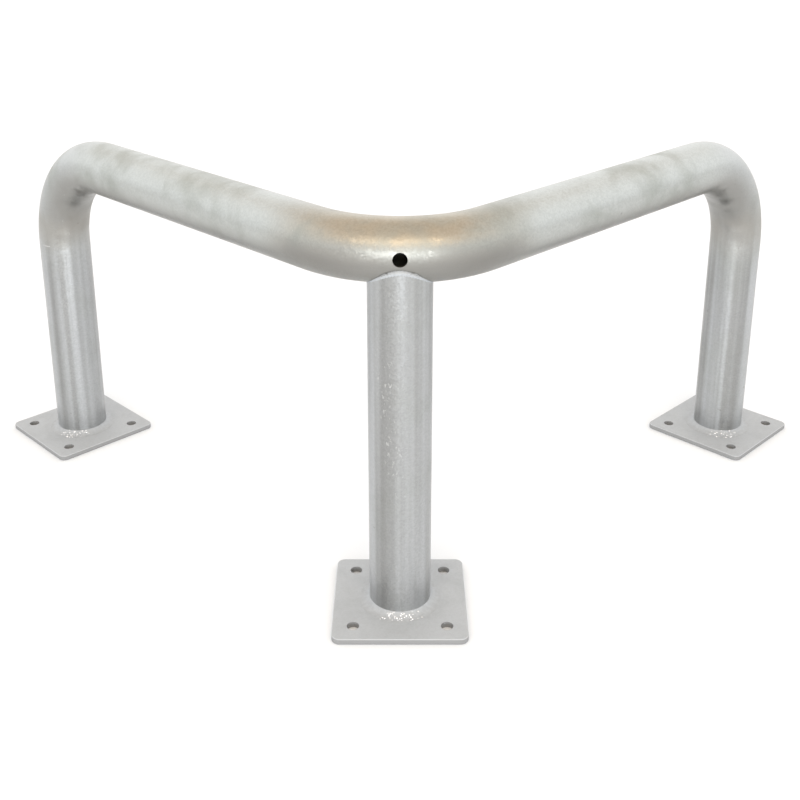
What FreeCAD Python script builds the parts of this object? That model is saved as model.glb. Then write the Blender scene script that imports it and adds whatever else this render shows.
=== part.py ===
"""Corner protection hoop: one bent steel tube on three bolted feet, with a welded post under its corner.

The ground is Z = 0 and the corner post stands on the origin. The two arms run along +X and +Y from the
corner, so the guarded corner of the building or machine is on the +X +Y side. Sizes are in millimetres.
"""
import FreeCAD
import Part
import Sketcher
import math
import os

from FreeCAD import Placement, Rotation, Vector

# Name, size and meaning of every driving dimension.
SIZES = (
    ("tube_od", 60.3, "outside diameter of hoop and post"),
    ("tube_wall", 2.9, "wall of hoop and post"),
    ("arm_reach", 590.0, "from the crossing of the arm axes to each leg axis"),
    ("hoop_height", 400.0, "from the ground to the top of the hoop"),
    ("bend_radius", 110.0, "axis radius of the three bends"),
    ("plate_side", 130.0, "side of a square base plate"),
    ("plate_thickness", 6.0, "thickness of a base plate"),
    ("plate_corner_radius", 8.0, "rounding of a base plate's corners, seen from above"),
    ("plate_edge_radius", 1.0, "rounding of a base plate's long edges"),
    ("bolt_spacing", 90.0, "between neighbouring anchor holes"),
    ("bolt_hole_dia", 12.0, "anchor holes"),
    ("drain_hole_dia", 20.0, "zinc drain through a base plate, under its tube"),
    ("vent_hole_dia", 13.5, "vent on the outside of the corner bend"),
    ("post_vent_dia", 16.0, "vent from the post into the hoop"),
    ("cope_gap", 0.2, "between the post's coped end and the hoop"),
    ("cope_tip_land", 2.95, "blunt width left on the post's two tips, where its cope runs out"),
    ("foot_weld_reach", 10.0, "leg of the weld round each foot, along the plate"),
    ("foot_weld_rise", 5.0, "leg of that weld up the tube"),
    ("foot_weld_hollow", 0.8, "how far that weld's face dips below the line between its toes"),
    ("saddle_bead_proud", 0.25, "how far the bead between post and hoop stands out of those tips"),
)

# The arms meet at a right angle, so everything on the corner turns by half of it.
HALF_CORNER = 45.0
HOLES_PER_PLATE = 4
# Degrees round the post between points of the saddle bead's seam, and how far its ends run past the tips.
SEAM_STEP = 10
SEAM_OVERRUN = 20

# Formulas that several pieces share.
TUBE_RADIUS = "(Sizes.tube_od / 2)"
TUBE_BORE = "(Sizes.tube_od - 2 * Sizes.tube_wall)"
AXIS_HEIGHT = "(Sizes.hoop_height - Sizes.tube_od / 2)"
LEG_LENGTH = f"({AXIS_HEIGHT} - Sizes.plate_thickness)"
ARM_END = "(Sizes.arm_reach - Sizes.bend_radius)"
# The bend cuts the corner: its middle lies this far from the crossing of the arm axes, along each axis.
SETBACK = "(Sizes.bend_radius * (1 - sqrt(0.5)))"
LEG_PLACE = f"(Sizes.arm_reach - {SETBACK})"
# How far below the hoop axis the post's tips end, so that they keep their land.
TIP_DROP = "sqrt(Sizes.cope_tip_land * (Sizes.tube_od - Sizes.cope_tip_land))"

doc = FreeCAD.newDocument("CornerProtectionHoop")
sheet = doc.addObject("Spreadsheet::Sheet", "Sizes")


def fill_sheet():
    for row, (alias, value, meaning) in enumerate(SIZES, start=1):
        sheet.set(f"A{row}", meaning)
        sheet.set(f"B{row}", str(value))
        sheet.setAlias(f"B{row}", alias)
    doc.recompute()


def size(alias):
    return float(sheet.get(alias))


def new_body(label):
    body = doc.addObject("PartDesign::Body", label)
    body.Label = label
    return body


def place(body, x="0", y="0", z="0", turn=0.0):
    """Stands a body on a point given by formulas, turned about the vertical."""
    body.Placement = Placement(Vector(0, 0, 0), Rotation(Vector(0, 0, 1), turn))
    for axis, formula in zip("xyz", (x, y, z)):
        body.setExpression(f"Placement.Base.{axis}", formula)


def origin_feature(body, role):
    return next(item for item in body.Origin.OriginFeatures if item.Role == role)


def new_sketch(body, name, plane):
    sketch = body.newObject("Sketcher::SketchObject", name)
    sketch.AttachmentSupport = [(origin_feature(body, plane), "")]
    sketch.MapMode = "FlatFace"
    return sketch


def tie(sketch, *constraint):
    return sketch.addConstraint(Sketcher.Constraint(*constraint))


def bind(sketch, name, formula, *constraint):
    """Adds a named dimension to a sketch and drives it by a formula."""
    sketch.renameConstraint(tie(sketch, *constraint), name)
    sketch.setExpression(f"Constraints.{name}", formula)


def add_circle(sketch, name, diameter, x=None, y=None):
    """Draws a circle about the sketch's origin, or about the point that the formulas x and y give."""
    circle = sketch.addGeometry(Part.Circle(Vector(1, 1, 0), Vector(0, 0, 1), 1))
    bind(sketch, f"{name}_dia", diameter, "Diameter", circle, 2)
    if x is None:
        tie(sketch, "Coincident", circle, 3, -1, 1)
        return
    bind(sketch, f"{name}_x", x, "DistanceX", -1, 1, circle, 3, 1)
    bind(sketch, f"{name}_y", y, "DistanceY", -1, 1, circle, 3, 1)


def add_line(sketch, start, end):
    return sketch.addGeometry(Part.LineSegment(Vector(*start, 0), Vector(*end, 0)))


def add_arc(sketch, centre, radius, first, last):
    """Draws an arc that runs counterclockwise between two angles in degrees."""
    circle = Part.Circle(Vector(*centre, 0), Vector(0, 0, 1), radius)
    return sketch.addGeometry(Part.ArcOfCircle(circle, math.radians(first), math.radians(last)))


def cut(body, kind, name, profile):
    """Starts a feature that takes material away from a body."""
    feature = body.newObject(f"PartDesign::{kind}", name)
    feature.Profile = profile
    return feature


def require_cut(feature):
    if feature.Shape.Volume >= feature.BaseFeature.Shape.Volume:
        raise RuntimeError(f"{feature.Name} removes nothing")


def corner_path(body):
    """Axis of both arms and of the bend between them, on the level of the hoop axis."""
    reach, radius = size("arm_reach"), size("bend_radius")
    path = new_sketch(body, "CornerPath", "XY_Plane")
    arm_x = add_line(path, (reach - radius, 0), (radius, 0))
    bend = add_arc(path, (radius, radius), radius, 180, 270)
    arm_y = add_line(path, (0, radius), (0, reach - radius))
    tie(path, "PointOnObject", arm_x, 1, -1)
    tie(path, "Horizontal", arm_x)
    tie(path, "PointOnObject", arm_y, 2, -2)
    tie(path, "Vertical", arm_y)
    tie(path, "Tangent", arm_x, 2, bend, 2)
    tie(path, "Tangent", bend, 1, arm_y, 1)
    bind(path, "bend", "Sizes.bend_radius", "Radius", bend, radius)
    bind(path, "arm_x_end", ARM_END, "DistanceX", -1, 1, arm_x, 1, reach - radius)
    bind(path, "arm_y_end", ARM_END, "DistanceY", -1, 1, arm_y, 2, reach - radius)
    # The bisector, across which the second leg mirrors the first.
    bisector = add_line(path, (0, 0), (radius, radius))
    path.toggleConstruction(bisector)
    tie(path, "Coincident", bisector, 1, -1, 1)
    tie(path, "Coincident", bisector, 2, bend, 3)
    return path


def leg_path(body):
    """Axis of one end bend and the leg below it, in the upright plane of its arm."""
    reach, radius = size("arm_reach"), size("bend_radius")
    foot = size("plate_thickness") + size("tube_od") / 2 - size("hoop_height")
    path = new_sketch(body, "LegPath", "XZ_Plane")
    bend = add_arc(path, (reach - radius, -radius), radius, 0, 90)
    leg = add_line(path, (reach, -radius), (reach, foot))
    tie(path, "PointOnObject", bend, 2, -1)
    tie(path, "Vertical", bend, 2, bend, 3)
    tie(path, "Vertical", leg)
    tie(path, "Tangent", bend, 1, leg, 1)
    bind(path, "bend", "Sizes.bend_radius", "Radius", bend, radius)
    bind(path, "arm_end", ARM_END, "DistanceX", -1, 1, bend, 2, reach - radius)
    bind(path, "leg_foot", LEG_LENGTH, "DistanceY", leg, 2, -1, 1, -foot)
    return path


def make_hoop():
    """The bent tube. Its own origin is the crossing of the two arm axes."""
    body = new_body("hoop_tube")
    section = new_sketch(body, "TubeSection", "YZ_Plane")
    section.setExpression("AttachmentOffset.Base.z", ARM_END)
    add_circle(section, "outside", "Sizes.tube_od")
    add_circle(section, "bore", TUBE_BORE)
    path = corner_path(body)
    arms = body.newObject("PartDesign::AdditivePipe", "ArmsAndCorner")
    arms.Profile = section
    arms.Spine = path
    leg = body.newObject("PartDesign::AdditivePipe", "EndBendAndLeg")
    leg.Profile = section
    leg.Spine = leg_path(body)
    doc.recompute()
    other_leg = body.newObject("PartDesign::Mirrored", "OtherEnd")
    other_leg.Originals = [leg]
    other_leg.MirrorPlane = (path, ["Axis0"])
    body.Tip = other_leg
    doc.recompute()
    cut_corner_vent(body)
    cut_post_vent(body)
    place(body, f"-{SETBACK}", f"-{SETBACK}", AXIS_HEIGHT)
    return body


def cut_corner_vent(body):
    """Round vent through the outer wall in the middle of the corner bend."""
    sketch = new_sketch(body, "CornerVentOutline", "XZ_Plane")
    sketch.AttachmentOffset = Placement(Vector(0, 0, 0), Rotation(Vector(0, 1, 0), -HALF_CORNER))
    add_circle(sketch, "vent", "Sizes.vent_hole_dia")
    vent = cut(body, "Pocket", "CornerVent", sketch)
    vent.setExpression("Length", "Sizes.bend_radius * (sqrt(2) - 1)")
    doc.recompute()
    require_cut(vent)


def cut_post_vent(body):
    """Hole in the underside of the corner bend, inside the post, that lets zinc and air through."""
    sketch = new_sketch(body, "PostVentOutline", "XY_Plane")
    add_circle(sketch, "vent", "Sizes.post_vent_dia", SETBACK, SETBACK)
    vent = cut(body, "Pocket", "PostVent", sketch)
    vent.setExpression("Length", "Sizes.tube_od")
    doc.recompute()
    require_cut(vent)


def make_post():
    """The post under the corner, coped to the bend. Its own X axis points at the bend's centre."""
    body = new_body("corner_post")
    section = new_sketch(body, "PostSection", "XY_Plane")
    add_circle(section, "outside", "Sizes.tube_od")
    add_circle(section, "bore", TUBE_BORE)
    post = body.newObject("PartDesign::Pad", "Post")
    post.Profile = section
    post.setExpression("Length", f"{LEG_LENGTH} - {TIP_DROP}")
    doc.recompute()
    sketch = new_sketch(body, "CopeOutline", "XZ_Plane")
    add_circle(sketch, "cope", "Sizes.tube_od + 2 * Sizes.cope_gap", "0", LEG_LENGTH)
    radius = size("bend_radius")
    pivot = add_line(sketch, (radius, 0), (radius, radius))
    sketch.toggleConstruction(pivot)
    tie(sketch, "Vertical", pivot)
    tie(sketch, "PointOnObject", pivot, 1, -1)
    bind(sketch, "pivot_x", "Sizes.bend_radius", "DistanceX", -1, 1, pivot, 1, radius)
    bind(sketch, "pivot_length", "Sizes.bend_radius", "DistanceY", pivot, 1, pivot, 2, radius)
    cope = cut(body, "Groove", "Cope", sketch)
    cope.ReferenceAxis = (sketch, ["Axis0"])
    cope.Angle = 360
    doc.recompute()
    require_cut(cope)
    place(body, z="Sizes.plate_thickness", turn=HALF_CORNER)
    return body


def edge_names(shape, wanted):
    return [f"Edge{number}" for number, edge in enumerate(shape.Edges, start=1) if wanted(edge)]


def is_upright(edge):
    return edge.BoundBox.ZLength > max(edge.BoundBox.XLength, edge.BoundBox.YLength)


def is_level(edge):
    return not is_upright(edge)


def round_edges(body, name, wanted, radius):
    base = body.Tip
    fillet = body.newObject("PartDesign::Fillet", name)
    fillet.Base = (base, edge_names(base.Shape, wanted))
    fillet.setExpression("Radius", radius)
    doc.recompute()


def make_plate(label, x="0", y="0", turn=0.0):
    """A base plate with rounded corners, anchor holes and a drain under the tube."""
    body = new_body(label)
    half = size("plate_side") / 2
    outline = new_sketch(body, "PlateOutline", "XY_Plane")
    corners = ((-half, -half), (half, -half), (half, half), (-half, half))
    sides = [add_line(outline, corners[i], corners[(i + 1) % 4]) for i in range(4)]
    for i, side in enumerate(sides):
        tie(outline, "Coincident", side, 2, sides[(i + 1) % 4], 1)
        tie(outline, "Vertical" if i % 2 else "Horizontal", side)
    tie(outline, "Symmetric", sides[0], 1, sides[2], 1, -1, 1)
    bind(outline, "width", "Sizes.plate_side", "DistanceX", sides[0], 1, sides[0], 2, 2 * half)
    bind(outline, "depth", "Sizes.plate_side", "DistanceY", sides[1], 1, sides[1], 2, 2 * half)
    plate = body.newObject("PartDesign::Pad", "Plate")
    plate.Profile = outline
    plate.setExpression("Length", "Sizes.plate_thickness")
    doc.recompute()
    round_edges(body, "RoundCorners", is_upright, "Sizes.plate_corner_radius")
    round_edges(body, "RoundEdges", is_level, "Sizes.plate_edge_radius")
    cut_anchor_holes(body)
    cut_drain(body)
    place(body, x, y, "0", turn)
    return body


def cut_through_plate(body, name, sketch):
    hole = cut(body, "Pocket", name, sketch)
    hole.Reversed = True
    hole.setExpression("Length", "Sizes.plate_thickness")
    doc.recompute()
    require_cut(hole)
    return hole


def cut_anchor_holes(body):
    sketch = new_sketch(body, "AnchorHoleOutline", "XY_Plane")
    add_circle(sketch, "hole", "Sizes.bolt_hole_dia", "Sizes.bolt_spacing / 2", "Sizes.bolt_spacing / 2")
    hole = cut_through_plate(body, "AnchorHole", sketch)
    pattern = body.newObject("PartDesign::PolarPattern", "AnchorHoles")
    pattern.Originals = [hole]
    pattern.Axis = (origin_feature(body, "Z_Axis"), [""])
    pattern.Angle = 360
    pattern.Occurrences = HOLES_PER_PLATE
    body.Tip = pattern
    doc.recompute()


def cut_drain(body):
    sketch = new_sketch(body, "DrainOutline", "XY_Plane")
    add_circle(sketch, "drain", "Sizes.drain_hole_dia")
    cut_through_plate(body, "Drain", sketch)


def make_foot_weld(label, x="0", y="0"):
    """Weld round the foot of a tube, with a hollow face that runs out on the plate."""
    body = new_body(label)
    tube, reach = size("tube_od") / 2, size("foot_weld_reach")
    rise, hollow = size("foot_weld_rise"), size("foot_weld_hollow")
    chord = math.hypot(reach, rise)
    radius = chord ** 2 / (8 * hollow) + hollow / 2
    outward = (radius - hollow) / chord
    centre = (tube + reach / 2 + rise * outward, rise / 2 + reach * outward)
    first = 180 + math.degrees(math.atan2(centre[1] - rise, centre[0] - tube))
    last = 180 + math.degrees(math.atan2(centre[1], centre[0] - tube - reach))
    profile = new_sketch(body, "WeldProfile", "XZ_Plane")
    sole = add_line(profile, (tube, 0), (tube + reach, 0))
    face = add_arc(profile, centre, radius, first, last)
    wall = add_line(profile, (tube, rise), (tube, 0))
    tie(profile, "Coincident", sole, 2, face, 2)
    tie(profile, "Coincident", face, 1, wall, 1)
    tie(profile, "Coincident", wall, 2, sole, 1)
    tie(profile, "PointOnObject", sole, 1, -1)
    tie(profile, "Horizontal", sole)
    tie(profile, "Vertical", wall)
    bind(profile, "tube_radius", TUBE_RADIUS, "DistanceX", -1, 1, sole, 1, tube)
    bind(profile, "reach", "Sizes.foot_weld_reach", "DistanceX", sole, 1, sole, 2, reach)
    bind(profile, "rise", "Sizes.foot_weld_rise", "DistanceY", wall, 2, wall, 1, rise)
    # Radius of an arc over the line between the two toes, with the hollow as its height.
    toes = "(Sizes.foot_weld_reach ^ 2 + Sizes.foot_weld_rise ^ 2)"
    bow = f"{toes} / (8 * Sizes.foot_weld_hollow) + Sizes.foot_weld_hollow / 2"
    bind(profile, "face_radius", bow, "Radius", face, radius)
    ring = body.newObject("PartDesign::Revolution", "WeldRing")
    ring.Profile = profile
    ring.ReferenceAxis = (profile, ["V_Axis"])
    ring.Angle = 360
    doc.recompute()
    place(body, x, y, "Sizes.plate_thickness")
    return body


def saddle_seam():
    """Seam between post and bend, over the post's own +Y side, from past one tip to past the other.

    It lies on the skin of the bend. Seen from above it is an ellipse, which follows the post's skin at the
    sides and passes over the cut ends of its tips, where both skins run upright.
    """
    tube, bend = size("tube_od") / 2, size("bend_radius")
    axis_height = size("hoop_height") - tube
    tip_reach = tube - size("cope_tip_land")
    points = []
    for degrees in range(-SEAM_OVERRUN, 180 + SEAM_OVERRUN + 1, SEAM_STEP):
        x = tip_reach * math.cos(math.radians(degrees))
        y = tube * math.sin(math.radians(degrees))
        off_axis = math.hypot(bend - x, y) - bend
        points.append(Vector(x, y, axis_height - math.sqrt(tube ** 2 - off_axis ** 2)))
    seam = Part.BSplineCurve()
    seam.interpolate(Points=points)
    return seam


def make_saddle_weld():
    """The bead between post and bend: a round bead along the seam, less the two tubes that it joins."""
    tube, bend = size("tube_od") / 2, size("bend_radius")
    axis_height = size("hoop_height") - tube
    seam = saddle_seam()
    start = seam.FirstParameter
    bead_radius = size("cope_tip_land") + size("saddle_bead_proud")
    section = Part.Circle(seam.value(start), seam.tangent(start)[0], bead_radius)
    bead = Part.Wire([seam.toShape()]).makePipeShell([Part.Wire([section.toShape()])], True, False)
    hoop = Part.makeTorus(bend, tube, Vector(bend, 0, axis_height))
    post = Part.makeCylinder(tube, size("plate_thickness") + doc.getObject("Post").Length.Value)
    room = 2 * size("tube_od")
    near_side = Part.makeBox(room, room, room, Vector(-room / 2, 0, axis_height - room / 2))
    half = bead.cut([hoop, post]).common(near_side)
    weld = doc.addObject("Part::Feature", "saddle_weld")
    weld.Label = "saddle_weld"
    weld.Shape = half.fuse(half.mirror(Vector(0, 0, 0), Vector(0, 1, 0)))
    weld.Placement = Placement(Vector(0, 0, 0), Rotation(Vector(0, 0, 1), HALF_CORNER))
    return weld


def make_feet():
    feet = [make_plate("corner_plate", turn=HALF_CORNER), make_foot_weld("corner_foot_weld")]
    for side, x, y in (("right", LEG_PLACE, f"-{SETBACK}"), ("left", f"-{SETBACK}", LEG_PLACE)):
        feet.append(make_plate(f"{side}_plate", x, y))
        feet.append(make_foot_weld(f"{side}_foot_weld", x, y))
    return feet


def require_sound(nodes):
    for item in doc.Objects:
        if "Invalid" in item.State or "Error" in item.State:
            raise RuntimeError(f"{item.Name} failed: {item.State}")
    for node in nodes:
        if node.Shape.isNull() or not node.Shape.isValid() or len(node.Shape.Solids) != 1:
            raise RuntimeError(f"{node.Label} is not one sound solid")


def export(nodes):
    os.makedirs("parts", exist_ok=True)
    for node in nodes:
        node.Shape.exportStep(os.path.join("parts", f"{node.Label}.step"))
        print(node.Label, round(node.Shape.Volume), "mm3")


fill_sheet()
pieces = [make_hoop(), make_post(), make_saddle_weld(), *make_feet()]
doc.recompute()
require_sound(pieces)
export(pieces)
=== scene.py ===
import functools
import math

import bpy
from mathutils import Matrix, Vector


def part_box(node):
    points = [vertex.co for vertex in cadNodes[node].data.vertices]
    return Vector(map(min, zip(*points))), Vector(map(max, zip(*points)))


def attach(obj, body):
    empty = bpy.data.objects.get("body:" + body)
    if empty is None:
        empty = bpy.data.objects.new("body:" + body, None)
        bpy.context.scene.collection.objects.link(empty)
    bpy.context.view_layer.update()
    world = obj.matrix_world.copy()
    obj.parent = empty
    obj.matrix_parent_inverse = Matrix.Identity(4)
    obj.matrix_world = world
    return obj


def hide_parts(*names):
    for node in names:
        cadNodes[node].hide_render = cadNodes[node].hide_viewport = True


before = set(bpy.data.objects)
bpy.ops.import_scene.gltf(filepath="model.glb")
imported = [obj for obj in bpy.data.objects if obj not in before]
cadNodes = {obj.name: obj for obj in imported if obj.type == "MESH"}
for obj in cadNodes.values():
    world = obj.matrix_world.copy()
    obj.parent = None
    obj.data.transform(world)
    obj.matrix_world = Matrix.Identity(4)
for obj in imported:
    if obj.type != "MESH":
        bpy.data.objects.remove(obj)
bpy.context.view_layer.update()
print("frame loaded:", len(cadNodes), "nodes")

# measures that several pieces share, all read off the frame, in metres
postLow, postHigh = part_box("corner_post")
hoopLow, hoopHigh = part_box("hoop_tube")
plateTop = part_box("corner_plate")[1].z
tubeRadius = (postHigh.x - postLow.x) / 2
axisHeight = hoopHigh.z - tubeRadius
setback = -hoopLow.x - tubeRadius  # the corner bend cuts the corner by this much along each arm
bendRadius = setback / (1 - math.sqrt(0.5))
legReach = hoopHigh.x - tubeRadius
endStart = legReach - bendRadius  # where the end bends start along an arm
tangentHeight = axisHeight - bendRadius  # and where they meet the legs
halfCorner = math.radians(45)
outsideCorner = (-math.cos(halfCorner), -math.sin(halfCorner), 0)
footPlaces = {
    "corner": Vector((0, 0, plateTop)),
    "right": Vector((legReach, -setback, plateTop)),
    "left": Vector((-setback, legReach, plateTop)),
}


# shorthands for nodes
def addNode(tree, kind, inputs=None, **settings):
    made = tree.nodes.new(kind)
    for name, value in settings.items():
        setattr(made, name, value)
    for key, value in (inputs or {}).items():
        if isinstance(value, bpy.types.NodeSocket):
            tree.links.new(value, made.inputs[key])
        else:
            made.inputs[key].default_value = value
    return made


def maths(tree, operation, first, second=0.0, third=0.0, clamp=False):
    sockets = {0: first, 1: second, 2: third}
    return addNode(tree, "ShaderNodeMath", sockets, operation=operation, use_clamp=clamp).outputs[0]


def times(tree, first, *others):
    for other in others:
        first = maths(tree, "MULTIPLY", first, other)
    return first


def addTimes(tree, value, factor, base):
    return maths(tree, "MULTIPLY_ADD", value, factor, base)


def vectorMaths(tree, operation, *values):
    return addNode(tree, "ShaderNodeVectorMath", dict(enumerate(values)), operation=operation).outputs


def split(tree, vector):
    return addNode(tree, "ShaderNodeSeparateXYZ", {0: vector}).outputs


def join(tree, *values):
    return addNode(tree, "ShaderNodeCombineXYZ", dict(enumerate(values))).outputs[0]


def remap(tree, value, low, high, newLow=0.0, newHigh=1.0, smooth=True):
    kind = "SMOOTHSTEP" if smooth else "LINEAR"
    sockets = {"Value": value, "From Min": low, "From Max": high, "To Min": newLow, "To Max": newHigh}
    return addNode(tree, "ShaderNodeMapRange", sockets, interpolation_type=kind).outputs["Result"]


def between(tree, share, low, high):
    return remap(tree, share, 0.0, 1.0, low, high, smooth=False)


def mixColour(tree, factor, first, second, mode="MIX"):
    made = addNode(tree, "ShaderNodeMix", data_type="RGBA", blend_type=mode)
    for index, value in ((0, factor), (6, first), (7, second)):
        if isinstance(value, bpy.types.NodeSocket):
            tree.links.new(value, made.inputs[index])
        else:
            made.inputs[index].default_value = value
    return made.outputs[2]


def tinted(tree, colour, mask, strength, tint):
    return mixColour(tree, times(tree, mask, strength), colour, tint)


def toned(tree, colour, tone):
    return mixColour(tree, 1.0, colour, tone, "MULTIPLY")


def noise(tree, vector, scale, detail=3.0, rough=0.5, distortion=0.0):
    sockets = {
        "Vector": vector, "Scale": scale, "Detail": detail, "Roughness": rough, "Distortion": distortion}
    return addNode(tree, "ShaderNodeTexNoise", sockets).outputs["Fac"]


def unevenNoise(tree, vector, seed, scale):
    sockets = {"Vector": vector, "W": seed, "Scale": scale, "Detail": 2.0}
    return addNode(tree, "ShaderNodeTexNoise", sockets, noise_dimensions="4D").outputs["Fac"]


def stretched(tree, vector, scale, shift=(0.0, 0.0, 0.0)):
    sockets = {"Vector": vector, "Scale": scale, "Location": shift}
    return addNode(tree, "ShaderNodeMapping", sockets).outputs["Vector"]


def spangle(tree, place, scale):
    crystals = addNode(tree, "ShaderNodeTexVoronoi", {"Vector": place, "Scale": scale}).outputs["Color"]
    crystalTone = addNode(tree, "ShaderNodeSeparateColor", {0: crystals}).outputs[0]
    return crystals, crystalTone


def bumped(tree, height, strength):
    sockets = {"Height": height, "Strength": strength, "Distance": 1.0}
    return addNode(tree, "ShaderNodeBump", sockets).outputs["Normal"]


def upwardFacing(tree):
    return split(tree, addNode(tree, "ShaderNodeNewGeometry").outputs["Normal"])[2]


def grey(value, warm=0.0):
    return (value * (1 + warm), value, value * (1 - warm), 1.0)


def newMaterial(name):
    material = bpy.data.materials.new(name)
    material.use_nodes = True
    tree = material.node_tree
    shader = tree.nodes["Principled BSDF"]
    place = addNode(tree, "ShaderNodeTexCoord").outputs["Object"]
    return material, tree, shader, place


# tones are linear; a pair such as a fade or facing says where a mask starts and where it is full
tubeFinish = {
    "metallic": 0.85,
    "specular": 0.5,
    "roughness": (0.30, 0.46),  # clear zinc, cloudy zinc
    "crystalRough": 0.08,
    "streakRough": 0.10,
    "paleZinc": (0.455, 0.472, 0.459, 1.0),
    "uprightZinc": grey(0.425, -0.025),  # the uprights are a little duller than the arms
    "uprightBlend": (0.07, 0.05),  # above and below their tops
    "cornerZinc": (0.36, 0.348, 0.312, 1.0),  # the corner bend, darker and warmer
    "cornerStrength": 0.8,
    "cornerFade": (0.135, 0.07),
    "topReflectionTone": (0.43, 0.38, 0.30, 1.0),  # and beige on its upper side: a painted reflection of a warm ceiling
    "topStrength": 0.75,
    "topFade": (0.11, 0.0),
    "topFacing": (0.25, 0.55),
    "endZinc": grey(0.40, -0.03),  # the end bends
    "endStrength": 0.4,
    "endFade": (-0.02, 0.05),
    "dullZinc": (0.33, 0.345, 0.32, 1.0),  # soft grey-green clouds left by the zinc bath
    "cloudStrength": (0.75, 0.25),  # on the arms, on the uprights
    "cloudScale": 15.0,
    "wispScale": 46.5,
    "wispShare": 0.25,
    "cloudSpread": (0.55, 0.90),
    "spangleScale": 640.0,  # fine crystals
    "spangleTones": (0.93, 1.05),
    "glitter": 0.10,  # how far the crystals lean
    "underShadeTone": (0.27, 0.267, 0.255, 1.0),  # painted shade on the undersides
    "underStrength": 0.9,
    "underFacing": (0.05, -0.7),
    "underBends": (-0.4, 0.6),  # how far they creep up the corner bend; the end bends' share of it
    "cheekShadeTone": (0.215, 0.21, 0.197, 1.0),  # painted shade low on both sides of the corner bend
    "cheekStrength": 0.6,
    "cheekNear": (-0.01, 0.05),
    "cheekFar": (0.105, 0.05),
    "cheekFacing": (0.3, -0.3),
    "streakScale": (150.0, 150.0, 2.5),  # fine streaks down the uprights
    "streakSpread": (0.3, 0.7),
    "streakTones": (1.03, 0.95),
    "bandTones": ((0.77, 0.762, 0.742, 1.0), (1.12, 1.125, 1.128, 1.0)),  # and broad bands
    "bandSpread": (0.35, 0.65),
    "bandLength": 0.9,
    "speckTone": grey(0.22, 0.03),
    "speckStrength": 0.5,
    "speckScale": 95.0,
    "speckSpread": (0.745, 0.79),
    "scuffTone": grey(0.8),
    "scuffStrength": 0.3,
    "scuffScale": 130.0,
    "scuffStretch": (1.0, 1.0, 0.45),
    "scuffSpread": (0.70, 0.78),
    "rubTone": grey(0.82),  # a slanting trail of pale rubs on the outside of the post
    "rubStrength": 0.45,
    "rubScale": 330.0,
    "rubStretch": (1.0, 1.0, 0.6),
    "rubSpread": (0.58, 0.72),
    "trailStart": 0.33,  # how far to one side it would meet the ground, in tube radii
    "trailSlant": 3.04,  # and how far it moves to the other side in a metre of height
    "trailWidth": (0.35, 0.1),
    "trailTop": (0.30, 0.27),
    "trailFoot": (0.11, 0.14),
    "trailFront": (0.0, -0.02),
    "stain": (0.38, 0.35, 0.315, 1.0),  # warm stain where the end bends meet the legs
    "stainStrength": 0.35,
    "stainLow": (-0.025, 0.02),
    "stainHigh": (0.06, 0.025),
    "stainSpread": (0.35, 0.6),
    "markTone": grey(0.85),  # scratched mark in the same place
    "markStrength": 0.35,
    "markWidth": (0.0010, 0.0003),
    "markSpread": (0.54, 0.64),
    "markHeight": 0.00012,
    "legFade": (0.04, 0.06),  # the stain and the mark are on the legs alone
    "wrinkleCount": 17.0,  # wrinkles in the crooks of the end bends, in a full turn
    "wrinkleWander": 9.0,
    "wrinkleHeight": 0.0009,
    "wrinkleDepth": (0.3, 0.9),  # in tube radii, from the axis to the inside of the bend
    "wrinkleFade": (0.0, 0.02),
    "waveScale": 55.0,
    "waveHeight": 0.00016,
    "grainScale": 1500.0,
    "grainHeight": 0.000045,
    "streakHeight": 0.00004,
    "bumpStrength": 0.6,
}


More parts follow.
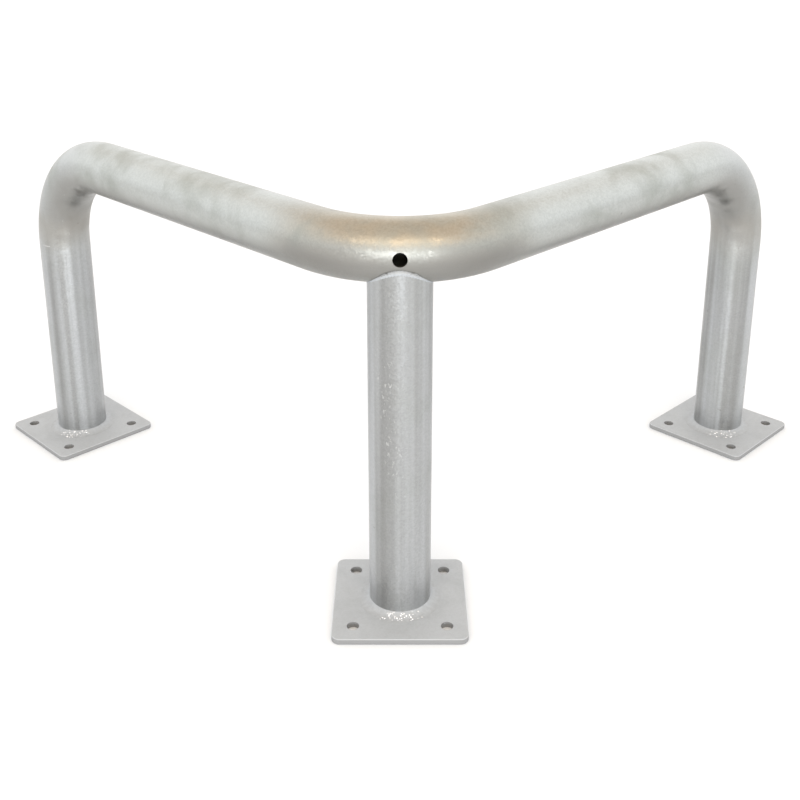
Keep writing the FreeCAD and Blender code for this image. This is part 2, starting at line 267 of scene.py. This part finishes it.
def galvanisedTube(name, uprightTop, bandScale, bandShift):
    s = tubeFinish
    material, tree, shader, place = newMaterial(name)
    axes = split(tree, place)
    facing = upwardFacing(tree)
    alongArm = maths(tree, "MAXIMUM", axes[0], axes[1])
    pastBend = maths(tree, "SUBTRACT", alongArm, endStart)
    overBend = maths(tree, "SUBTRACT", axes[2], tangentHeight)

    # zinc of each stretch of tube, and a painted reflection of a warm ceiling on the upper side of the
    # corner bend
    blendUp, blendDown = s["uprightBlend"]
    upright = remap(tree, axes[2], uprightTop + blendUp, uprightTop - blendDown)
    onHoop = maths(tree, "SUBTRACT", 1.0, upright)
    cornerBent = times(tree, remap(tree, alongArm, *s["cornerFade"]), onHoop)
    endBent = times(tree, remap(tree, pastBend, *s["endFade"]), onHoop)
    # painted reflection: beige on the upper side of the corner bend
    cornerTopReflection = times(tree, remap(tree, facing, *s["topFacing"]), remap(tree, alongArm, *s["topFade"]))
    cornerTopReflection = times(tree, cornerTopReflection, onHoop)
    colour = mixColour(tree, upright, s["paleZinc"], s["uprightZinc"])
    colour = tinted(tree, colour, cornerBent, s["cornerStrength"], s["cornerZinc"])
    colour = tinted(tree, colour, endBent, s["endStrength"], s["endZinc"])
    colour = tinted(tree, colour, cornerTopReflection, s["topStrength"], s["topReflectionTone"])

    # clouds in two sizes, mostly on the arms
    clouds = noise(tree, place, s["cloudScale"], distortion=0.5)
    wisps = noise(tree, place, s["wispScale"], distortion=0.4)
    cloudMask = remap(tree, addTimes(tree, wisps, s["wispShare"], clouds), *s["cloudSpread"])
    colour = tinted(tree, colour, cloudMask, between(tree, upright, *s["cloudStrength"]), s["dullZinc"])

    # each crystal is a little lighter or darker
    crystals, crystalTone = spangle(tree, place, s["spangleScale"])
    colour = toned(tree, colour, between(tree, crystalTone, *s["spangleTones"]))

    # painted shade: undersides darker, most of all under the corner bend
    creep, endShare = s["underBends"]
    bent = maths(tree, "MAXIMUM", cornerBent, times(tree, endBent, endShare))
    underShadeMask = remap(tree, addTimes(tree, bent, creep, facing), *s["underFacing"])
    colour = tinted(tree, colour, underShadeMask, s["underStrength"], s["underShadeTone"])
    # painted shade on the lower sides of the arms beside the corner bend
    cheekShade = times(tree, remap(tree, alongArm, *s["cheekNear"]), remap(tree, alongArm, *s["cheekFar"]))
    cheekShade = times(tree, cheekShade, remap(tree, facing, *s["cheekFacing"]), onHoop)
    colour = tinted(tree, colour, cheekShade, s["cheekStrength"], s["cheekShadeTone"])

    # what ran down the uprights
    streaks = noise(tree, stretched(tree, place, s["streakScale"]), 1.0, rough=0.6)
    streaks = times(tree, streaks, upright)
    colour = toned(tree, colour, remap(tree, streaks, *s["streakSpread"], *s["streakTones"]))
    bandSize = (bandScale, bandScale, s["bandLength"])
    bands = noise(tree, stretched(tree, place, bandSize, bandShift), 1.0, detail=2.0)
    bandTone = mixColour(tree, remap(tree, bands, *s["bandSpread"]), *s["bandTones"])
    colour = mixColour(tree, upright, colour, toned(tree, colour, bandTone))

    # small dark specks and pale scuffs
    specks = remap(tree, noise(tree, place, s["speckScale"], detail=2.0), *s["speckSpread"])
    colour = tinted(tree, colour, specks, s["speckStrength"], s["speckTone"])
    rubbed = stretched(tree, place, s["scuffStretch"])
    scuffs = noise(tree, rubbed, s["scuffScale"], rough=0.6, distortion=0.5)
    colour = tinted(tree, colour, remap(tree, scuffs, *s["scuffSpread"]), s["scuffStrength"], s["scuffTone"])

    # a slanting trail of rubs on the outside of the post
    sideways = times(tree, maths(tree, "SUBTRACT", axes[0], axes[1]), math.sqrt(0.5) / tubeRadius)
    offTrail = addTimes(tree, axes[2], s["trailSlant"], maths(tree, "SUBTRACT", sideways, s["trailStart"]))
    trail = remap(tree, maths(tree, "ABSOLUTE", offTrail), *s["trailWidth"])
    trail = times(tree, trail, remap(tree, axes[2], *s["trailTop"]), remap(tree, axes[2], *s["trailFoot"]))
    trail = times(tree, trail, remap(tree, maths(tree, "ADD", axes[0], axes[1]), *s["trailFront"]))
    rubs = noise(tree, stretched(tree, place, s["rubStretch"]), s["rubScale"], rough=0.6, distortion=0.5)
    rubs = times(tree, remap(tree, rubs, *s["rubSpread"]), trail)
    colour = tinted(tree, colour, rubs, s["rubStrength"], s["rubTone"])

    # a stain and a scratched mark where each end bend meets its leg
    onLeg = remap(tree, pastBend, *s["legFade"])
    stain = times(tree, remap(tree, overBend, *s["stainLow"]), remap(tree, overBend, *s["stainHigh"]), onLeg)
    stain = times(tree, stain, remap(tree, clouds, *s["stainSpread"]))
    colour = tinted(tree, colour, stain, s["stainStrength"], s["stain"])
    mark = remap(tree, maths(tree, "ABSOLUTE", overBend), *s["markWidth"])
    mark = times(tree, mark, remap(tree, wisps, *s["markSpread"]), onLeg)
    colour = tinted(tree, colour, mark, s["markStrength"], s["markTone"])
    tree.links.new(colour, shader.inputs["Base Color"])

    rough = between(tree, cloudMask, *s["roughness"])
    rough = addTimes(tree, crystalTone, s["crystalRough"], rough)
    rough = addTimes(tree, streaks, s["streakRough"], rough)
    tree.links.new(rough, shader.inputs["Roughness"])
    shader.inputs["Metallic"].default_value = s["metallic"]
    shader.inputs["Specular IOR Level"].default_value = s["specular"]

    # wrinkles in the crooks of the end bends
    fromCentre = addTimes(tree, pastBend, pastBend, times(tree, overBend, overBend))
    outerShare, innerShare = s["wrinkleDepth"]
    crook = remap(tree, maths(tree, "SQRT", fromCentre),
                  bendRadius - outerShare * tubeRadius, bendRadius - innerShare * tubeRadius)
    crook = times(tree, crook, remap(tree, pastBend, *s["wrinkleFade"]))
    crook = times(tree, crook, remap(tree, overBend, *s["wrinkleFade"]))
    swing = maths(tree, "ARCTAN2", overBend, pastBend)
    ruck = addTimes(tree, swing, s["wrinkleCount"], times(tree, clouds, s["wrinkleWander"]))
    wrinkles = times(tree, maths(tree, "SINE", ruck), crook)

    waves = noise(tree, place, s["waveScale"], detail=2.0, rough=0.45)
    grain = noise(tree, place, s["grainScale"], detail=2.0, rough=0.6)
    height = addTimes(tree, waves, s["waveHeight"], times(tree, grain, s["grainHeight"]))
    height = addTimes(tree, streaks, s["streakHeight"], height)
    height = addTimes(tree, mark, s["markHeight"], height)
    height = addTimes(tree, wrinkles, s["wrinkleHeight"], height)
    # each crystal leans its own way, so highlights glitter
    lean = vectorMaths(tree, "SUBTRACT", crystals, (0.5, 0.5, 0.5))[0]
    dented = bumped(tree, height, s["bumpStrength"])
    tilted = vectorMaths(tree, "MULTIPLY_ADD", lean, (s["glitter"],) * 3, dented)[0]
    tree.links.new(vectorMaths(tree, "NORMALIZE", tilted)[0], shader.inputs["Normal"])
    return material


plateFinish = {
    "metallic": 0.35,
    "roughness": (0.66, 0.76),  # clear zinc, cloudy zinc
    "crystalRough": 0.05,
    "zinc": grey(0.505, -0.055),
    "dull": grey(0.475, -0.055),
    "cloudScale": 28.0,
    "cloudSpread": (0.4, 0.75),
    "spangleScale": 600.0,
    "spangleTones": (0.96, 1.03),
    "rimHighlight": grey(0.54, -0.045),  # painted highlight along the rounded rim
    "rimFacing": (0.97, 0.85),
    "edge": grey(0.32, -0.015),  # painted shade on the side faces of the plates
    "edgeFacing": (0.5, 0.2),
    "grainScale": 160.0,
    "grainHeight": 0.00018,
    "bumpStrength": 0.5,
}


def galvanisedPlate():
    s = plateFinish
    material, tree, shader, place = newMaterial("galvanisedPlate")
    facing = upwardFacing(tree)
    clouds = noise(tree, place, s["cloudScale"], detail=4.0, rough=0.6, distortion=0.6)
    cloudMask = remap(tree, clouds, *s["cloudSpread"])
    crystalTone = spangle(tree, place, s["spangleScale"])[1]
    colour = mixColour(tree, cloudMask, s["zinc"], s["dull"])
    colour = toned(tree, colour, between(tree, crystalTone, *s["spangleTones"]))
    # painted highlight along the rounded rim
    colour = mixColour(tree, remap(tree, facing, *s["rimFacing"]), colour, s["rimHighlight"])
    # painted shade on the side faces
    colour = mixColour(tree, remap(tree, facing, *s["edgeFacing"]), colour, s["edge"])
    tree.links.new(colour, shader.inputs["Base Color"])
    rough = addTimes(tree, crystalTone, s["crystalRough"], between(tree, cloudMask, *s["roughness"]))
    tree.links.new(rough, shader.inputs["Roughness"])
    shader.inputs["Metallic"].default_value = s["metallic"]
    height = times(tree, noise(tree, place, s["grainScale"], rough=0.55), s["grainHeight"])
    tree.links.new(bumped(tree, height, s["bumpStrength"]), shader.inputs["Normal"])
    return material


weldFinish = {
    "metallic": 0.35,
    "roughness": (0.68, 0.20),  # weld, nib
    "zinc": grey(0.47, -0.05),
    # near-white on the zinc nibs: a painted glint
    "nib": grey(0.95, -0.01),
    "patchScale": 260.0,
    "patchSpread": (0.35, 0.7),
    "patchTones": (0.95, 1.04),
    "grainScale": 500.0,
    "grainHeight": 0.00010,
    "bumpStrength": 0.6,
}


def weldZinc():
    s = weldFinish
    material, tree, shader, place = newMaterial("weldZinc")
    nib = addNode(tree, "ShaderNodeAttribute", attribute_name="nib").outputs["Fac"]
    patches = noise(tree, place, s["patchScale"])
    colour = toned(tree, s["zinc"], remap(tree, patches, *s["patchSpread"], *s["patchTones"]))
    # the nibs are real lumps; their near-white tone is a painted glint
    tree.links.new(mixColour(tree, nib, colour, s["nib"]), shader.inputs["Base Color"])
    tree.links.new(between(tree, nib, *s["roughness"]), shader.inputs["Roughness"])
    shader.inputs["Metallic"].default_value = s["metallic"]
    height = times(tree, noise(tree, place, s["grainScale"], rough=0.55), s["grainHeight"])
    tree.links.new(bumped(tree, height, s["bumpStrength"]), shader.inputs["Normal"])
    return material


tubeBands = {
    "hoop": (70.0, (-4.3, -13.6, 4.2)),  # how close the bands are, and where their pattern starts
    "post": (55.0, (1.8, -4.0, 10.0)),
}
postTop = hoopHigh.z + tubeFinish["uprightBlend"][1]  # the post is upright all the way
zincPlate, zincWeld = galvanisedPlate(), weldZinc()
dressed = {
    "hoop_tube": galvanisedTube("galvanisedHoop", tangentHeight, *tubeBands["hoop"]),
    "corner_post": galvanisedTube("galvanisedPost", postTop, *tubeBands["post"]),
    "corner_plate": zincPlate,
    "right_plate": zincPlate,
    "left_plate": zincPlate,
}
for name, material in dressed.items():
    mesh = cadNodes[name].data
    mesh.materials.clear()
    mesh.materials.append(material)
print("galvanised finish on", len(dressed), "nodes")


# Geometry Nodes for the welds
def newTree(name, inputs):
    tree = bpy.data.node_groups.new(name, "GeometryNodeTree")
    sockets = {}
    for label, value in inputs.items():
        kind = {float: "NodeSocketFloat", int: "NodeSocketInt", Vector: "NodeSocketVector"}.get(type(value))
        made = tree.interface.new_socket(label, in_out="INPUT", socket_type=kind or "NodeSocketMaterial")
        sockets[label] = (made.identifier, value)
    tree.interface.new_socket("Geometry", in_out="OUTPUT", socket_type="NodeSocketGeometry")
    start = addNode(tree, "NodeGroupInput").outputs
    return tree, sockets, start


def closeTree(tree, geometry, material):
    real = addNode(tree, "GeometryNodeRealizeInstances", {"Geometry": geometry}).outputs[0]
    painted = addNode(tree, "GeometryNodeSetMaterial", {"Geometry": real, "Material": material}).outputs[0]
    addNode(tree, "NodeGroupOutput", {0: painted})


def position(tree):
    return addNode(tree, "GeometryNodeInputPosition").outputs[0]


def captured(tree, geometry, **fields):
    kept = addNode(tree, "GeometryNodeCaptureAttribute", {"Geometry": geometry})
    for label, value in fields.items():
        kept.capture_items.new("FLOAT", label)
        tree.links.new(value, kept.inputs[label])
    return kept.outputs


creaseAngle = math.radians(60)  # the toes of the welds stay crisp


def grow(name, tree, sockets):
    host = bpy.data.objects.new(name + "Host", bpy.data.meshes.new(name + "Host"))
    bpy.context.scene.collection.objects.link(host)
    modifier = host.modifiers.new("grow", "NODES")
    modifier.node_group = tree
    for identifier, value in sockets.values():
        modifier[identifier] = value
    bpy.context.view_layer.update()
    evaluated = host.evaluated_get(bpy.context.evaluated_depsgraph_get())
    mesh = bpy.data.meshes.new_from_object(evaluated)
    mesh.name = name
    bpy.data.objects.remove(host)
    mesh.shade_smooth()
    mesh.set_sharp_from_angle(angle=creaseAngle)
    piece = bpy.data.objects.new(name, mesh)
    bpy.context.scene.collection.objects.link(piece)
    return piece


footWeld = {
    "ringSteps": 360,
    "faceSteps": 14,  # across the hollow face; the hidden sole and wall take as many between them
    "hollow": 0.00115,
    "rippleCount": 52.0,
    "rippleHeight": 0.00010,
    "rippleBow": 0.9,  # how far each ripple is bowed, in ripples
    "rippleWander": 6.0,
    "wander": 0.0002,  # unevenness of a weld laid by hand
    "wanderScale": 3.5,
    "nibDensity": 110000.0,  # zinc nibs per square metre of face, where they are thickest
    "nibRadius": 0.0008,
    "nibSizes": (0.45, 1.35),
    "nibFlat": 0.55,
    "nibSteps": (8, 5),
    "nibSpread": (0.80, 0.99),  # they thin out away from the outside of the corner
    "nibFrom": 0.25,  # and stay clear of the toes
    "mergeGap": 1e-6,
    "firstSeed": 3,
}


def footWeldTree(place, reach, rise, seed):
    s = footWeld
    tree, sockets, start = newTree("footWeldRipples", {
        "place": place, "tubeRadius": tubeRadius, "reach": reach, "rise": rise, "hollow": s["hollow"],
        "ringSteps": s["ringSteps"] + 1, "sectionSteps": 2 * s["faceSteps"] + 1,
        "rippleCount": s["rippleCount"], "rippleHeight": s["rippleHeight"], "rippleBow": s["rippleBow"],
        "wander": s["wander"], "nibDensity": s["nibDensity"], "nibRadius": s["nibRadius"],
        "seed": seed, "finish": zincWeld,
    })
    calc = functools.partial(maths, tree)
    reach, rise, tubeSkin = start["reach"], start["rise"], start["tubeRadius"]

    grid = addNode(tree, "GeometryNodeMeshGrid", {
        "Size X": 1.0, "Size Y": 1.0, "Vertices X": start["ringSteps"], "Vertices Y": start["sectionSteps"]})
    axes = split(tree, position(tree))
    angle = calc("MULTIPLY", calc("ADD", axes[0], 0.5), math.tau)
    along = calc("ADD", axes[1], 0.5)
    cosine, sine = calc("COSINE", angle), calc("SINE", angle)
    # the section runs down the face in its first half, back along the sole, then up the wall
    face = calc("MULTIPLY", along, 2.0, clamp=True)
    sole = calc("MULTIPLY", calc("SUBTRACT", along, 0.5), 4.0, clamp=True)
    wall = calc("MULTIPLY", calc("SUBTRACT", along, 0.75), 4.0, clamp=True)
    onFace = times(tree, face, calc("SUBTRACT", 1.0, face), 4.0)

    # ripples, bowed across the face, on a hollow that wanders a little
    uneven = unevenNoise(tree, join(tree, cosine, sine, face), start["seed"], s["wanderScale"])
    unevenness = calc("SUBTRACT", uneven, 0.5)
    offMiddle = calc("POWER", calc("SUBTRACT", face, 0.5), 2.0)
    bowed = times(tree, offMiddle, calc("MULTIPLY", start["rippleBow"], 4.0))
    phase = addTimes(tree, angle, start["rippleCount"], calc("MULTIPLY", bowed, math.tau))
    phase = addTimes(tree, unevenness, s["rippleWander"], phase)
    wave = addTimes(tree, calc("COSINE", phase), 0.5, 0.5)
    lift = calc("MULTIPLY", wave, start["rippleHeight"])
    lift = addTimes(tree, unevenness, start["wander"], lift)
    lift = calc("MULTIPLY", calc("SUBTRACT", lift, start["hollow"]), onFace)

    chord = calc("SQRT", addTimes(tree, reach, reach, times(tree, rise, rise)))
    outward = calc("DIVIDE", calc("MULTIPLY", lift, rise), chord)
    upward = calc("DIVIDE", calc("MULTIPLY", lift, reach), chord)
    out = addTimes(tree, calc("SUBTRACT", face, sole), reach, outward)
    up = addTimes(tree, calc("ADD", calc("SUBTRACT", 1.0, face), wall), rise, upward)
    radius = calc("ADD", out, tubeSkin)
    spot = join(tree, calc("MULTIPLY", radius, cosine), calc("MULTIPLY", radius, sine), up)
    moved = vectorMaths(tree, "ADD", spot, start["place"])[0]
    kept = captured(tree, grid.outputs["Mesh"], onFace=onFace, angle=angle)
    shaped = addNode(tree, "GeometryNodeSetPosition", {"Geometry": kept[0], "Position": moved}).outputs[0]
    merged = addNode(tree, "GeometryNodeMergeByDistance", {"Geometry": shaped, "Distance": s["mergeGap"]})
    # the grid rolls up inside out
    closed = addNode(tree, "GeometryNodeFlipFaces", {"Mesh": merged.outputs[0]}).outputs[0]

    # zinc nibs on the face, where the zinc ran off last: on the outside of the corner
    outside = calc("COSINE", calc("SUBTRACT", kept["angle"], math.pi + halfCorner))
    nibPlaces = addNode(tree, "GeometryNodeDistributePointsOnFaces", {
        "Mesh": closed, "Selection": calc("GREATER_THAN", kept["onFace"], s["nibFrom"]),
        "Density": times(tree, remap(tree, outside, *s["nibSpread"]), start["nibDensity"]),
        "Seed": start["seed"]})
    segments, rings = s["nibSteps"]
    nib = addNode(tree, "GeometryNodeMeshUVSphere", {
        "Segments": segments, "Rings": rings, "Radius": start["nibRadius"]})
    smallest, largest = s["nibSizes"]
    nibSize = addNode(tree, "FunctionNodeRandomValue", {
        2: smallest, 3: largest, "Seed": start["seed"]}, data_type="FLOAT").outputs[1]
    # marks the nibs for their painted glint
    marked = addNode(tree, "GeometryNodeStoreNamedAttribute", {
        "Geometry": nib.outputs["Mesh"], "Name": "nib", "Value": 1.0}, data_type="FLOAT", domain="POINT")
    nibs = addNode(tree, "GeometryNodeInstanceOnPoints", {
        "Points": nibPlaces.outputs["Points"], "Instance": marked.outputs[0],
        "Rotation": nibPlaces.outputs["Rotation"],
        "Scale": join(tree, nibSize, nibSize, calc("MULTIPLY", nibSize, s["nibFlat"]))})
    whole = tree.nodes.new("GeometryNodeJoinGeometry")
    tree.links.new(closed, whole.inputs[0])
    tree.links.new(nibs.outputs[0], whole.inputs[0])
    closeTree(tree, whole.outputs[0], start["finish"])
    return tree, sockets


def makeFootWelds():
    for seed, (side, place) in enumerate(footPlaces.items(), start=footWeld["firstSeed"]):
        low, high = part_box(side + "_foot_weld")
        reach = (high.x - low.x) / 2 - tubeRadius
        rise = high.z - low.z
        piece = grow(side + "_foot_bead", *footWeldTree(place, reach, rise, seed))
        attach(piece, "root")
        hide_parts(side + "_foot_weld")
        print(piece.name, len(piece.data.polygons), "faces")


saddleWeld = {
    "seamSteps": 480,
    "ringSteps": 20,
    "rippleCount": 70.0,
    "rippleHeight": 0.00022,
    "rippleWander": 3.0,
    "wanderScale": 140.0,
    "proud": 0.0004,  # how far the bead stands out of the post's skin
    "slim": 0.0001,  # how far it stays under the solid's skin, at least
    "seed": 11,
}


def saddleWeldTree(tipReach, beadRadius):
    s = saddleWeld
    tree, sockets, start = newTree("saddleWeldRipples", {
        "tubeRadius": tubeRadius, "bendRadius": bendRadius, "axisHeight": axisHeight, "tipReach": tipReach,
        "beadRadius": beadRadius, "seamSteps": s["seamSteps"], "ringSteps": s["ringSteps"],
        "rippleCount": s["rippleCount"], "rippleHeight": s["rippleHeight"],
        "proud": s["proud"], "slim": s["slim"], "seed": s["seed"], "finish": zincWeld,
    })
    calc = functools.partial(maths, tree)
    tubeSkin, bend = start["tubeRadius"], start["bendRadius"]

    # seen from above the seam is an ellipse; it lies on the skin of the bend
    circle = addNode(tree, "GeometryNodeCurvePrimitiveCircle", {
        "Resolution": start["seamSteps"], "Radius": 1.0}).outputs[0]
    axes = split(tree, position(tree))
    inward = calc("MULTIPLY", axes[0], start["tipReach"])
    sideways = calc("MULTIPLY", axes[1], tubeSkin)
    fromCentre = calc("SUBTRACT", bend, inward)
    reach = calc("SQRT", addTimes(tree, fromCentre, fromCentre, times(tree, sideways, sideways)))
    offAxis = calc("SUBTRACT", reach, bend)
    dropSquared = calc("SUBTRACT", times(tree, tubeSkin, tubeSkin), times(tree, offAxis, offAxis))
    drop = calc("SQRT", calc("MAXIMUM", dropSquared, 0.0))
    spot = join(tree, inward, sideways, calc("SUBTRACT", start["axisHeight"], drop))
    seam = addNode(tree, "GeometryNodeSetPosition", {"Geometry": circle, "Position": spot}).outputs[0]
    share = addNode(tree, "GeometryNodeSplineParameter").outputs["Factor"]
    kept = captured(tree, seam, share=share)
    turns = calc("MULTIPLY", kept["share"], math.tau)

    # the seam runs inside the post's skin towards its two tips, so the bead is thicker there
    tipInset = calc("SUBTRACT", tubeSkin, start["tipReach"])
    inset = calc("MULTIPLY", tipInset, calc("POWER", calc("COSINE", turns), 2.0))
    thickest = calc("SUBTRACT", start["beadRadius"], start["slim"])
    beadHere = calc("MINIMUM", calc("ADD", inset, start["proud"]), thickest)
    section = addNode(tree, "GeometryNodeCurvePrimitiveCircle", {
        "Resolution": start["ringSteps"], "Radius": start["beadRadius"]})
    bead = addNode(tree, "GeometryNodeCurveToMesh", {"Curve": kept[0], "Profile Curve": section.outputs[0]})

    uneven = unevenNoise(tree, position(tree), start["seed"], s["wanderScale"])
    phase = addTimes(tree, turns, start["rippleCount"], calc("MULTIPLY", uneven, s["rippleWander"]))
    wave = addTimes(tree, calc("COSINE", phase), 0.5, -0.5)
    thinner = calc("SUBTRACT", beadHere, start["beadRadius"])
    lift = addTimes(tree, wave, start["rippleHeight"], thinner)
    normal = addNode(tree, "GeometryNodeInputNormal").outputs[0]
    shove = addNode(tree, "ShaderNodeVectorMath", {0: normal, "Scale": lift}, operation="SCALE").outputs[0]
    rippled = addNode(tree, "GeometryNodeSetPosition", {"Geometry": bead.outputs[0], "Offset": shove})
    turned = addNode(tree, "GeometryNodeTransform", {
        "Geometry": rippled.outputs[0], "Rotation": (0, 0, halfCorner)})
    closeTree(tree, turned.outputs[0], start["finish"])
    return tree, sockets


def makeSaddleWeld():
    tipReach = math.sqrt(tubeRadius ** 2 - (axisHeight - postHigh.z) ** 2)
    offAxis = math.hypot(bendRadius, tubeRadius) - bendRadius
    seamLow = axisHeight - math.sqrt(tubeRadius ** 2 - offAxis ** 2)
    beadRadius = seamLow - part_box("saddle_weld")[0].z
    piece = grow("saddle_bead", *saddleWeldTree(tipReach, beadRadius))
    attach(piece, "root")
    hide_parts("saddle_weld")
    print(piece.name, len(piece.data.polygons), "faces, bead radius", round(beadRadius * 1000, 2), "mm")


makeFootWelds()
makeSaddleWeld()


studio = {
    "floorSize": 60.0,
    "floorTone": (0.86, 0.905, 0.96, 1.0),  # evens out the warm ceiling
    "floorRough": 0.9,
    "floorSpecular": 0.1,
    "skyStrength": 1.46,
    "front": grey(0.85, -0.02),  # the outside of the corner
    "back": grey(1.05),
    "frontTurn": (-0.2, 0.2),  # from the back's tone to the front's
    "horizon": grey(0.80),
    "horizonRise": (0.12, 0.0),
    "ceiling": (0.73, 0.63, 0.53, 1.0),  # warm, as a room's ceiling
    "ceilingRise": (0.55, 0.88),
    "ceilingWidth": (0.85, 0.55),
    "ceilingSlope": 0.10,  # it comes lower on the outside of the corner
    "ceilingTurn": (-0.2, 0.5),
    "keyPlace": (-1.5, -1.5, 2.3),  # a long warm strip overhead
    "keyPower": 22.0,
    "keySize": (3.2, 0.35),
    "keyColour": (1.0, 0.83, 0.62),
    "frontPlace": (-1.8, -1.8, 0.45),  # low and wide, on the outside of the corner
    "frontPower": 24.0,
    "frontSize": (2.1, 0.3),
    "frontColour": (0.96, 0.985, 1.0),
    "aim": (0.25, 0.25, 0.2),
}


def makeFloor():
    s = studio
    mesh = bpy.data.meshes.new("floor")
    half = s["floorSize"] / 2
    corners = [(-half, -half, 0), (half, -half, 0), (half, half, 0), (-half, half, 0)]
    mesh.from_pydata(corners, [], [(0, 1, 2, 3)])
    floor = bpy.data.objects.new("floor", mesh)
    bpy.context.scene.collection.objects.link(floor)
    material = bpy.data.materials.new("paleFloor")
    material.use_nodes = True
    shader = material.node_tree.nodes["Principled BSDF"]
    shader.inputs["Base Color"].default_value = s["floorTone"]
    shader.inputs["Roughness"].default_value = s["floorRough"]
    shader.inputs["Specular IOR Level"].default_value = s["floorSpecular"]
    mesh.materials.append(material)


def makeSky():
    s = studio
    world = bpy.data.worlds.new("studioSky")
    bpy.context.scene.world = world
    world.use_nodes = True
    tree = world.node_tree
    backdrop = tree.nodes["Background"]
    direction = addNode(tree, "ShaderNodeTexCoord").outputs["Generated"]
    axes = split(tree, direction)
    heading = vectorMaths(tree, "NORMALIZE", join(tree, axes[0], axes[1]))[0]
    frontward = vectorMaths(tree, "DOT_PRODUCT", heading, outsideCorner)["Value"]
    sky = mixColour(tree, remap(tree, frontward, *s["frontTurn"]), s["back"], s["front"])
    sky = mixColour(tree, remap(tree, axes[2], *s["horizonRise"]), sky, s["horizon"])
    # the strip of ceiling lies in the corner's own plane
    rise = addTimes(tree, remap(tree, frontward, *s["ceilingTurn"]), s["ceilingSlope"], axes[2])
    sideways = (math.cos(halfCorner), -math.sin(halfCorner), 0)
    offPlane = maths(tree, "ABSOLUTE", vectorMaths(tree, "DOT_PRODUCT", direction, sideways)["Value"])
    strip = times(tree, remap(tree, rise, *s["ceilingRise"]), remap(tree, offPlane, *s["ceilingWidth"]))
    sky = mixColour(tree, strip, sky, s["ceiling"])
    tree.links.new(sky, backdrop.inputs["Color"])
    backdrop.inputs["Strength"].default_value = s["skyStrength"]


def addSoftbox(name, place, target, size, power, colour):
    lamp = bpy.data.lights.new(name, "AREA")
    lamp.shape = "RECTANGLE"
    lamp.size, lamp.size_y = size
    lamp.energy = power
    lamp.color = colour
    holder = bpy.data.objects.new(name, lamp)
    bpy.context.scene.collection.objects.link(holder)
    holder.location = place
    holder.rotation_euler = (Vector(target) - Vector(place)).to_track_quat("-Z", "Y").to_euler()
    holder.visible_camera = False


def makeLights():
    s = studio
    for side in ("key", "front"):
        place, size = s[side + "Place"], s[side + "Size"]
        addSoftbox(side + "Light", place, s["aim"], size, s[side + "Power"], s[side + "Colour"])


camera = {
    "lens": 49.5,
    "sensor": 36.0,
    "shift": -0.2,
    "pitch": math.radians(17.86),
    "away": 0.8866,  # level distance from where the arm axes cross
    "height": 0.6792,
}


def makeCamera():
    s = camera
    data = bpy.data.cameras.new("photoCamera")
    data.sensor_width = s["sensor"]
    data.lens = s["lens"]
    data.shift_y = s["shift"]
    holder = bpy.data.objects.new("photoCamera", data)
    bpy.context.scene.collection.objects.link(holder)
    back = -setback - s["away"] * math.cos(halfCorner)
    holder.location = (back, back, s["height"])
    holder.rotation_euler = (math.pi / 2 - s["pitch"], 0, -halfCorner)
    bpy.context.scene.camera = holder


makeFloor()
makeSky()
makeLights()
makeCamera()
bpy.context.scene.view_settings.view_transform = "Standard"
print("studio ready")
